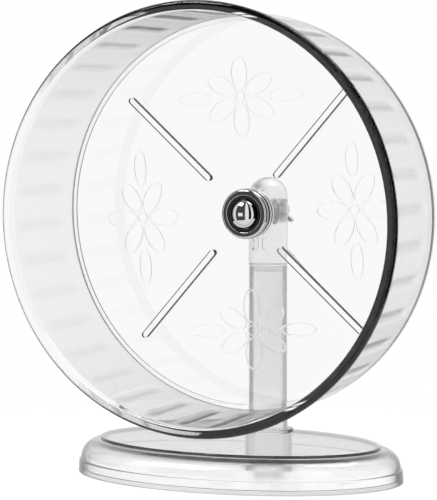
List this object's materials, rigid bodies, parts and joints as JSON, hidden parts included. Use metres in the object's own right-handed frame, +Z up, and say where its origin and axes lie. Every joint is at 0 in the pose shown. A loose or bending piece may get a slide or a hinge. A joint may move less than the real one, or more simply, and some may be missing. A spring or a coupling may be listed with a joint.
{
  "type": "hamster wheel",
  "caption": "Clear plastic running wheel for a hamster: an open drum with a ribbed track and spoked back disc, turning on a ball-bearing hub carried by a post on a flat oval foot.",
  "frame": {"origin": "middle of the foot's underside, on the surface it stands on", "axes": "+Z up, -Y towards the wheel's open side, +X to the right seen from the open side; the axle lies along Y"},
  "size_m": [0.26, 0.1444, 0.2908],
  "materials": {
    "clear_plastic": "clear moulded, polished",
    "chrome": "bright plated",
    "steel": "ground",
    "rubber": "moulded, satin",
    "nylon": "moulded"
  },
  "bodies": {
    "stand": {"base_cover": "clear_plastic", "base_plate": "clear_plastic", "post_tube": "clear_plastic", "post_head": "clear_plastic", "axle": "steel", "axle_cap_nut": "chrome", "front_washer": "steel", "axle_spacer": "steel", "bearing_inner_race": "steel", "rear_washer": "steel"},
    "wheel": {"running_track": "clear_plastic", "back_disc": "clear_plastic", "hub_housing": "chrome", "hub_ring_nut": "chrome", "bearing_outer_race": "steel", "bearing_front_shield": "steel", "bearing_rear_shield": "steel", "bearing_retaining_ring": "steel", "hub_dust_seal": "rubber"},
    "cage": {"bearing_cage": "nylon"},
    "ball_1": {"ball_1": "steel"},
    "ball_2": {"ball_2": "steel"},
    "ball_3": {"ball_3": "steel"},
    "ball_4": {"ball_4": "steel"},
    "ball_5": {"ball_5": "steel"},
    "ball_6": {"ball_6": "steel"},
    "ball_7": {"ball_7": "steel"},
    "wing_nut": {"wing_nut": "chrome"}
  },
  "joints": [
    {"name": "wheel_spin", "type": "hinge", "parent": "stand", "child": "wheel", "pos_m": [0, 0.0105, 0.1608], "axis": [0, 1, 0], "continuous": true},
    {"name": "cage_orbit", "type": "hinge", "parent": "stand", "child": "cage", "pos_m": [0, 0.0124, 0.1608], "axis": [0, 1, 0], "continuous": true},
    {"name": "ball_1_roll", "type": "hinge", "parent": "cage", "child": "ball_1", "pos_m": [0.0075, 0.0124, 0.1608], "axis": [0, 1, 0], "continuous": true},
    {"name": "ball_2_roll", "type": "hinge", "parent": "cage", "child": "ball_2", "pos_m": [0.00468, 0.0124, 0.16666], "axis": [0, 1, 0], "continuous": true},
    {"name": "ball_3_roll", "type": "hinge", "parent": "cage", "child": "ball_3", "pos_m": [-0.00167, 0.0124, 0.16811], "axis": [0, 1, 0], "continuous": true},
    {"name": "ball_4_roll", "type": "hinge", "parent": "cage", "child": "ball_4", "pos_m": [-0.00676, 0.0124, 0.16405], "axis": [0, 1, 0], "continuous": true},
    {"name": "ball_5_roll", "type": "hinge", "parent": "cage", "child": "ball_5", "pos_m": [-0.00676, 0.0124, 0.15755], "axis": [0, 1, 0], "continuous": true},
    {"name": "ball_6_roll", "type": "hinge", "parent": "cage", "child": "ball_6", "pos_m": [-0.00167, 0.0124, 0.15349], "axis": [0, 1, 0], "continuous": true},
    {"name": "ball_7_roll", "type": "hinge", "parent": "cage", "child": "ball_7", "pos_m": [0.00468, 0.0124, 0.15494], "axis": [0, 1, 0], "continuous": true},
    {"name": "wing_nut_turn", "type": "hinge", "parent": "stand", "child": "wing_nut", "pos_m": [0, 0.05865, 0.1608], "axis": [0, 1, 0], "continuous": true}
  ],
  "couplings": [
    {"joint": "cage_orbit", "follows": "wheel_spin", "ratio": 0.632},
    {"joint": "ball_1_roll", "follows": "wheel_spin", "ratio": 1.7619},
    {"joint": "ball_2_roll", "follows": "wheel_spin", "ratio": 1.7619},
    {"joint": "ball_3_roll", "follows": "wheel_spin", "ratio": 1.7619},
    {"joint": "ball_4_roll", "follows": "wheel_spin", "ratio": 1.7619},
    {"joint": "ball_5_roll", "follows": "wheel_spin", "ratio": 1.7619},
    {"joint": "ball_6_roll", "follows": "wheel_spin", "ratio": 1.7619},
    {"joint": "ball_7_roll", "follows": "wheel_spin", "ratio": 1.7619}
  ]
}
